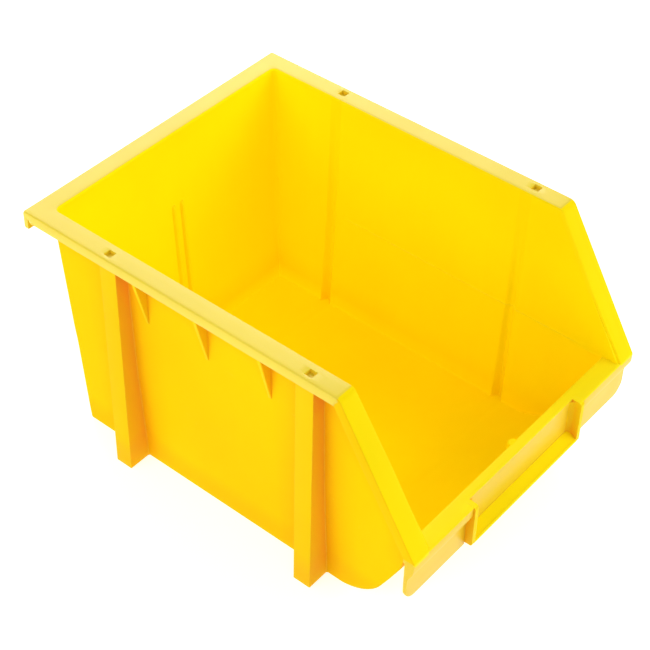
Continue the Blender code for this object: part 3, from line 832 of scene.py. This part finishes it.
# ------------------------------------------------------------------ divider guides
def make_rib(name):
    """A slim upright rib on the inside of the rear wall, fading out at its top."""
    low, high = box(name)
    centre_x, top = middle(low.x, high.x), high.z
    fade = 1.5
    rings = []
    for z in (WALL - 0.4, 6.0, 20.0, 40.0, 60.0, 80.0, 95.0, 104.0, 109.0,
              top - 1.4, top - 0.5, top):
        wall_y = back_out(z) - WALL
        rise = lerp(3.2, 1.6, clamp(z / top))
        half = lerp(1.15, 0.85, clamp(z / top))
        if z > top - fade:
            part = (z - (top - fade)) / fade
            rise = rise * leg(1, part) - 0.2 * part
            half = half * (1 - 0.35 * part)
        shoulder = min(0.5, max(0.0, rise) * 0.3) + 0.05
        edge = [
            (-half - 0.8, wall_y + 1.0), (-half - 0.7, wall_y - 0.02),
            (-half - 0.12, wall_y - shoulder), (-half, wall_y - rise * 0.7),
            (-half * 0.66, wall_y - rise * 0.93), (0.0, wall_y - rise),
        ]
        plan = edge + [(-x, y) for x, y in reversed(edge[:-1])]
        rings.append([(centre_x + x, y, z) for x, y in plan])
    return shade(loft(name.replace("rear_", "") + "_form", rings), 50.0)


def make_lip_guide():
    """Round upright guide at the front lip, with a rounded top edge."""
    low, high = box("front_divider_guide")
    radius = (high.x - low.x) / 2
    rings = []
    for z, inset in ((56.0, 0.0), (LIP_Z - 1.0, 0.0), (LIP_Z - 0.45, 0.12),
                     (LIP_Z - 0.15, 0.4), (LIP_Z - 0.02, 0.9)):
        plan = arc(middle(low.x, high.x), high.y - radius, radius - inset, 0, 360, 40)
        rings.append(level(plan[:-1], z))
    return shade(loft("lip_divider_guide", rings), 40.0)


# ------------------------------------------------------------------ shader tools
class NodeBuilder:
    """Adds nodes to a tree. Inputs take a number, a tuple or another node's output."""

    def __init__(self, tree):
        self.tree = tree

    def feed(self, socket, value):
        if isinstance(value, bpy.types.NodeSocket):
            self.tree.links.new(value, socket)
        elif socket.type == "RGBA":
            socket.default_value = (*value, 1.0)
        else:
            socket.default_value = value

    def feed_all(self, node, inputs):
        for key, value in inputs.items():
            self.feed(node.inputs[key], value)

    def add(self, kind, inputs=None, **settings):
        node = self.tree.nodes.new("ShaderNode" + kind)
        for key, value in settings.items():
            setattr(node, key, value)
        self.feed_all(node, inputs or {})
        return node

    def math(self, operation, first, second, use_clamp=False):
        return self.add(
            "Math", {0: first, 1: second}, operation=operation, use_clamp=use_clamp,
        ).outputs[0]

    def times(self, first, second):
        return self.math("MULTIPLY", first, second)

    def noise(self, vector, scale, detail, roughness, distortion=0.0):
        return self.add("TexNoise", {
            "Scale": scale, "Detail": detail, "Roughness": roughness,
            "Distortion": distortion, "Vector": vector,
        }).outputs["Fac"]

    def stretched(self, vector, scale):
        return self.add("Mapping", {"Scale": scale, "Vector": vector}).outputs["Vector"]

    def ramp(self, value, start, end, at_start=0.0, at_end=1.0):
        return self.add("MapRange", {
            "From Min": start, "From Max": end, "To Min": at_start, "To Max": at_end,
            "Value": value,
        }, clamp=True).outputs["Result"]

    def mix(self, factor, first, second):
        return self.add(
            "Mix", {0: factor, 6: first, 7: second}, data_type="RGBA", blend_type="MIX",
        ).outputs[2]

    def bump(self, height, strength, distance, normal=None, invert=False):
        node = self.add(
            "Bump", {"Strength": strength, "Distance": distance, "Height": height},
            invert=invert)
        if normal:
            self.feed(node.inputs["Normal"], normal)
        return node.outputs["Normal"]


# ------------------------------------------------------------------ plastic
def tone_and_painted_shade(build, position, height, colour, painted_shade_colour, painted_shade):
    """Batch variation, upward flow streaks, and painted shade: a deeper orange painted into corners
    where ambient occlusion is high.
    """
    light = tuple(min(1.0, c * 1.03) for c in colour)
    dark = tuple(c * 0.93 for c in colour)
    streaked = tuple(c * part for c, part in zip(colour, (0.97, 0.86, 0.6)))
    cloud = build.noise(position, scale=9.0, detail=3.0, roughness=0.5)
    cloud = build.ramp(cloud, 0.3, 0.7)
    along = build.stretched(position, (95.0, 95.0, 7.0))
    streak = build.noise(along, scale=1.0, detail=4.0, roughness=0.6)
    streak = build.ramp(streak, 0.35, 0.75)
    tone = build.mix(cloud, dark, light)
    tone = build.mix(build.times(streak, 0.10), tone, streaked)
    # painted shade: the corner colour is painted in where ambient occlusion is high, weaker close to
    # the floor
    occlusion = build.add("AmbientOcclusion", {"Distance": painted_shade["reach"]}, samples=4)
    painted_shade_amount = build.ramp(occlusion.outputs["AO"], painted_shade["full"], painted_shade["clear"], 1.0, 0.0)
    painted_shade_amount = build.times(painted_shade_amount, painted_shade["strength"])
    painted_shade_amount = build.times(painted_shade_amount, build.ramp(height, 0.0, 0.022, 0.25, 1.0))
    return build.mix(painted_shade_amount, tone, painted_shade_colour)


def edge_rub(build, position):
    """Patchy wear along the edges."""
    bevel = build.add("Bevel", {"Radius": 0.0011}, samples=3)
    geometry = build.add("NewGeometry")
    facing = build.add("VectorMath", {
        0: bevel.outputs["Normal"], 1: geometry.outputs["Normal"],
    }, operation="DOT_PRODUCT")
    edge = build.ramp(facing.outputs["Value"], 0.80, 0.985, 1.0, 0.0)
    patchy = build.noise(position, scale=130.0, detail=4.0, roughness=0.6)
    patchy = build.ramp(patchy, 0.35, 0.7)
    return build.times(build.times(edge, patchy), 0.35)


def scuffs(build, position, marks):
    """Short light scuffs in two directions, gathered in patches."""
    directions = []
    for stretch, distortion, start, end in (
        ((40.0, 900.0, 300.0), 0.3, 0.70, 0.78),
        ((700.0, 60.0, 300.0), 0.4, 0.71, 0.79),
    ):
        along = build.stretched(position, stretch)
        lines = build.noise(
            along, scale=1.0, detail=2.0, roughness=0.5, distortion=distortion)
        directions.append(build.ramp(lines, start, end))
    where = build.noise(position, scale=22.0, detail=2.0, roughness=0.5)
    where = build.ramp(where, 0.5, 0.68)
    return build.times(build.times(build.math("MAXIMUM", *directions), where), marks)


def relief(build, position, scuff):
    """Mould texture with pits, the slow ripple of shrinkage, and sunken scuffs."""
    grain = build.noise(position, scale=1500.0, detail=3.0, roughness=0.65)
    pits = build.add("TexVoronoi", {"Scale": 750.0, "Vector": position})
    pit = build.ramp(pits.outputs["Distance"], 0.05, 0.45)
    fine = build.math("ADD", grain, build.times(pit, 0.35))
    normal = build.bump(fine, strength=0.22, distance=0.00012)
    ripple = build.noise(position, scale=26.0, detail=2.0, roughness=0.45)
    normal = build.bump(ripple, strength=0.35, distance=0.0009, normal=normal)
    return build.bump(scuff, strength=0.3, distance=0.0001, normal=normal, invert=True)


def plastic(name, colour, painted_shade_colour, specular, painted_shade, roughness=0.46, marks=0.7, painted_glow=None):
    """Moulded satin plastic.

    The corner colour is painted shade, painted into the corners; marks: amount of scuffs.
    The corner shade settings: reach of the painted shade in metres, the openness at which it
    is full and at which it is gone, and its strength.
    painted glow: colour and strength of painted light that the surface gives off as emission, at the
    floor and above.
    """
    material = bpy.data.materials.new(name)
    material.use_nodes = True
    build = NodeBuilder(material.node_tree)
    build.tree.nodes.clear()
    position = build.add("TexCoord").outputs["Object"]
    output = build.add("OutputMaterial")
    surface = build.add("BsdfPrincipled")
    build.feed(output.inputs["Surface"], surface.outputs["BSDF"])
    place = build.add("SeparateXYZ", {"Vector": position}).outputs

    worn = tuple(min(1.0, lerp(c, 1.0, part)) for c, part in zip(colour, (0.5, 0.30, 0.10)))
    tone = tone_and_painted_shade(build, position, place["Z"], colour, painted_shade_colour, painted_shade)
    rub = edge_rub(build, position)
    tone = build.mix(rub, tone, worn)
    scuff = scuffs(build, position, marks)
    tone = build.mix(build.times(scuff, 0.35), tone, worn)

    if painted_glow:
        # painted glow: the surface gives off light of its own, stronger towards the rear
        painted_glow_colour = build.mix(
            build.ramp(place["Z"], 0.003, 0.03), painted_glow["floor_colour"], painted_glow["colour"])
        painted_glow_strength = build.ramp(place["Z"], 0.003, 0.014, painted_glow["floor_strength"], painted_glow["strength"])
        painted_glow_strength = build.times(painted_glow_strength, build.ramp(place["Y"], -0.10, 0.125, 0.7, 1.9))
        build.feed_all(surface, {"Emission Color": painted_glow_colour, "Emission Strength": painted_glow_strength})

    mottle = build.noise(position, scale=60.0, detail=4.0, roughness=0.6)
    finish = build.math("ADD", build.times(mottle, 0.14), roughness - 0.07)
    finish = build.math("ADD", finish, build.times(scuff, 0.18))
    finish = build.math("ADD", finish, build.times(rub, 0.12), use_clamp=True)
    build.feed_all(surface, {
        "Base Color": tone,
        "Roughness": finish,
        "IOR": 1.49,
        "Specular IOR Level": specular,
        "Subsurface Weight": 0.06,
        "Subsurface Radius": (1.0, 0.45, 0.05),
        "Subsurface Scale": 0.002,
        "Normal": relief(build, position, scuff),
    })
    return material


# painted glow, the same at every height
def even_painted_glow(colour, strength):
    return dict(
        floor_colour=colour, colour=colour, floor_strength=strength, strength=strength)


def wall_painted_glow(colour, floor_strength, strength):
    """Painted glow, deeper in colour at the floor."""
    return dict(floor_colour=(1.0, 0.55, 0.0), colour=colour,
                floor_strength=floor_strength, strength=strength)


# One yellow plastic in lit and shaded copies: the base colours differ to paint light and shade. They
# are lighter inside, on the slopes and on the lip top, and deeper and duller on the outer walls,
# skirts, posts, rim and apron. The strength of the painted shade differs between the copies too.
INSIDE_PAINTED_SHADE = dict(reach=0.03, full=0.3, clear=0.8, strength=0.35)
RIM_PAINTED_SHADE = dict(reach=0.010, full=0.3, clear=0.85, strength=0.35)

WALL_LOOK = plastic(
    "wall_plastic_look", colour=(0.965, 0.650, 0.002), painted_shade_colour=(0.93, 0.36, 0.008),
    specular=0.004, painted_shade=dict(reach=0.024, full=0.45, clear=0.95, strength=0.9))
INSIDE_LOOK = plastic(
    "inside_plastic_look", colour=(0.970, 0.755, 0.002), painted_shade_colour=(0.97, 0.60, 0.004),
    specular=0.01, painted_shade=INSIDE_PAINTED_SHADE, painted_glow=wall_painted_glow((1.0, 0.90, 0.0), 0.19, 0.09))
# hollow behind a post: less painted glow, so it is painted darker, as shade
HOLLOW_LOOK = plastic(
    "hollow_plastic_look", colour=(0.970, 0.750, 0.002), painted_shade_colour=(0.97, 0.60, 0.004),
    specular=0.01, painted_shade=INSIDE_PAINTED_SHADE, painted_glow=wall_painted_glow((1.0, 0.88, 0.0), 0.06, 0.075))
RIM_LOOK = plastic(
    "rim_plastic_look", colour=(0.890, 0.685, 0.026), painted_shade_colour=(0.92, 0.56, 0.008),
    specular=0.44, painted_shade=RIM_PAINTED_SHADE, roughness=0.36, marks=1.0)
SLOPE_LOOK = plastic(
    "slope_plastic_look", colour=(0.960, 0.722, 0.003), painted_shade_colour=(0.95, 0.52, 0.006),
    specular=0.02, painted_shade=RIM_PAINTED_SHADE, marks=0.8, painted_glow=even_painted_glow((1.0, 0.86, 0.0), 0.14))
LIP_TOP_LOOK = plastic(
    "lip_top_plastic_look", colour=(0.960, 0.745, 0.008), painted_shade_colour=(0.95, 0.52, 0.006),
    specular=0.06, painted_shade=dict(RIM_PAINTED_SHADE, strength=0.30), roughness=0.42, marks=0.8,
    painted_glow=even_painted_glow((1.0, 0.93, 0.0), 0.15))
# skirts of the slopes: a deeper base colour painted as shade
SKIRT_LOOK = plastic(
    "skirt_plastic_look", colour=(0.965, 0.610, 0.002), painted_shade_colour=(0.94, 0.45, 0.008),
    specular=0.01, painted_shade=RIM_PAINTED_SHADE)
# apron: a duller base colour, a shaded copy of the lip top
LIP_LOOK = plastic(
    "lip_plastic_look", colour=(0.880, 0.600, 0.012), painted_shade_colour=(0.92, 0.46, 0.008),
    specular=0.30, painted_shade=RIM_PAINTED_SHADE, roughness=0.38, marks=1.0)
# posts: painted shade at full strength, a deep orange in their corners
POST_LOOK = plastic(
    "rib_plastic_look", colour=(0.965, 0.628, 0.003), painted_shade_colour=(0.96, 0.355, 0.022),
    specular=0.015, painted_shade=dict(reach=0.026, full=0.55, clear=0.93, strength=1.0), marks=0.6)
GUSSET_LOOK = plastic(
    "gusset_plastic_look", colour=(0.965, 0.665, 0.003), painted_shade_colour=(0.95, 0.48, 0.008),
    specular=0.02, painted_shade=dict(reach=0.026, full=0.4, clear=0.93, strength=0.75), marks=0.6)
BAR_LOOK = plastic(
    "bar_plastic_look", colour=(0.960, 0.700, 0.003), painted_shade_colour=(0.95, 0.42, 0.008),
    specular=0.04, painted_shade=dict(reach=0.012, full=0.5, clear=0.95, strength=1.0), marks=0.6)
GUIDE_LOOK = plastic(
    "guide_plastic_look", colour=(0.970, 0.765, 0.002), painted_shade_colour=(0.96, 0.52, 0.006),
    specular=0.02, painted_shade=dict(reach=0.012, full=0.5, clear=0.95, strength=0.45), marks=0.6,
    painted_glow=wall_painted_glow((1.0, 0.90, 0.0), 0.08, 0.07))


# ------------------------------------------------------------------ putting it together
def dress(piece, looks, slot, *nodes, tone=None):
    """Gives a piece its materials and its place in the frame. tone(normal, centre in mm)
    says which of the materials a face has."""
    if tone:
        for face in piece.data.polygons:
            face.material_index = int(tone(face.normal, face.center * 1000))
    indices = [face.material_index for face in piece.data.polygons]
    piece.data.materials.clear()
    for look in looks:
        piece.data.materials.append(look)
    piece.data.polygons.foreach_set("material_index", indices)
    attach(piece, "root")
    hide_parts(*nodes)


# Faces are sorted into lit and shaded copies of the plastic by place and by which way they face.
dress(make_tub(), [WALL_LOOK, INSIDE_LOOK, HOLLOW_LOOK], "wall_plastic",
      "floor_panel", "left_side_wall", "right_side_wall", "rear_wall", "front_wall",
      tone=tub_tone)
dress(make_rim(), [RIM_LOOK, SLOPE_LOOK, SKIRT_LOOK], "rim_plastic",
      "left_rim_rail", "right_rim_rail", "left_sloped_rim", "right_sloped_rim",
      tone=rim_tone)
dress(make_hook(), [RIM_LOOK], "rim_plastic", "rear_hanging_rail")
# faces turned up or back get the lit copy of the lip plastic
dress(make_lip(), [LIP_LOOK, LIP_TOP_LOOK], "rim_plastic",
      "front_lip_shelf", "front_apron_left", "front_apron_right",
      tone=lambda normal, centre: normal.z > 0.45 or normal.y > 0.5)
dress(make_label_backing(), [LIP_LOOK], "rim_plastic", "label_holder_back")
for label in ("left", "right"):
    # the tops of the bars get the lit copy of the lip plastic
    dress(make_label_bar(label), [BAR_LOOK, LIP_TOP_LOOK], "rim_plastic",
          f"label_holder_{label}_bar",
          tone=lambda normal, centre: normal.z > 0.6 and centre.z > LIP_Z - 0.6)
dress(make_label_ledge(), [SLOPE_LOOK], "rim_plastic", "label_holder_ledge")
for post in POSTS:
    dress(make_post(post), [POST_LOOK], "rib_plastic", post)
for label in ("left", "right"):
    for i in (1, 2, 3):
        gusset = f"rim_gusset_{label}_{i}"
        dress(make_gusset(gusset), [GUSSET_LOOK], "rib_plastic", gusset)
    rib = f"rear_divider_rib_{label}"
    dress(make_rib(rib), [GUIDE_LOOK], "wall_plastic", rib)
dress(make_lip_guide(), [SLOPE_LOOK], "rim_plastic", "front_divider_guide")


# ------------------------------------------------------------------ stage, light, camera
def stage_material():
    """Pale matt floor, faintly mottled and self-lit."""
    material = bpy.data.materials.new("studio_floor")
    material.use_nodes = True
    build = NodeBuilder(material.node_tree)
    mottle = build.add("TexNoise", {"Scale": 3.0}).outputs["Fac"]
    grey = build.ramp(mottle, 0.0, 1.0, 0.60, 0.63)
    colour = build.add("CombineColor", {0: grey, 1: grey, 2: grey})
    build.feed_all(build.tree.nodes["Principled BSDF"], {
        "Base Color": colour.outputs["Color"],
        "Roughness": 0.9,
        "Specular IOR Level": 0.1,
        "Emission Color": (1.0, 1.0, 1.0),
        "Emission Strength": 0.72,
    })
    return material


def make_stage():
    mesh = bpy.data.meshes.new("studio_floor")
    with editing(mesh) as edit:
        bmesh.ops.create_grid(edit, x_segments=2, y_segments=2, size=6.0)
    floor = bpy.data.objects.new("studio_floor", mesh)
    floor.location.z = -0.0002
    mesh.materials.append(stage_material())
    bpy.context.scene.collection.objects.link(floor)


def make_world():
    """The camera sees a pale backdrop; the bin is lit by a softer grade, brighter above."""
    world = bpy.data.worlds.new("studio")
    bpy.context.scene.world = world
    world.use_nodes = True
    build = NodeBuilder(world.node_tree)
    direction = build.add("TexCoord").outputs["Generated"]
    split = build.add("SeparateXYZ", {"Vector": direction})
    grade = build.ramp(split.outputs["Z"], 0.0, 0.8, 0.36, 0.50)
    rays = build.add("LightPath")
    backdrop = build.add("Mix", {0: rays.outputs["Is Camera Ray"], 2: grade, 3: 0.95})
    build.feed_all(build.tree.nodes["Background"], {
        "Strength": backdrop.outputs[0], "Color": (1.0, 1.0, 1.0),
    })


def softbox(name, direction, distance, size, power):
    """A white area light that looks at the middle of the bin."""
    light = bpy.data.lights.new(name, "AREA")
    light.shape = "RECTANGLE"
    light.size, light.size_y = size
    light.energy = power
    light.color = (1, 1, 1)
    lamp = bpy.data.objects.new(name, light)
    away = Vector(direction).normalized()
    lamp.location = Vector((0, 0, 0.06)) + away * distance
    lamp.rotation_mode = "QUATERNION"
    lamp.rotation_quaternion = away.to_track_quat("Z", "Y")
    bpy.context.scene.collection.objects.link(lamp)
    return lamp


def make_camera():
    """Looks down from the front left, rolled slightly."""
    target = Vector((0.0036, 0.01065, 0.07875))
    distance = 0.9972
    roll = math.radians(1.374)
    back = Vector((-0.5740, -0.4609, 0.6768)).normalized()
    forward = -back
    right = forward.cross(Vector((0, 0, 1))).normalized()
    up = right.cross(forward)
    cos, sin = math.cos(roll), math.sin(roll)
    right, up = right * cos + up * sin, up * cos - right * sin
    camera = bpy.data.objects.new("camera", bpy.data.cameras.new("camera"))
    camera.data.sensor_width = 36.0
    camera.data.lens = 93.78
    camera.matrix_world = Matrix((right, up, back)).transposed().to_4x4()
    camera.location = target + back * distance
    bpy.context.scene.collection.objects.link(camera)
    bpy.context.scene.camera = camera


make_stage()
make_world()
softbox("softbox_back", direction=(0.60, 0.62, 0.62), distance=1.6, size=(1.1, 0.9), power=12.0)
softbox("softbox_left", direction=(-0.85, 0.25, 0.50), distance=1.7, size=(1.2, 1.0), power=9.5)
front_light = softbox("softbox_right_front", direction=(0.55, -0.75, 0.50), distance=1.7,
                      size=(1.2, 1.0), power=12.0)
front_light.visible_glossy = False
make_camera()
bpy.context.scene.view_settings.view_transform = "Standard"
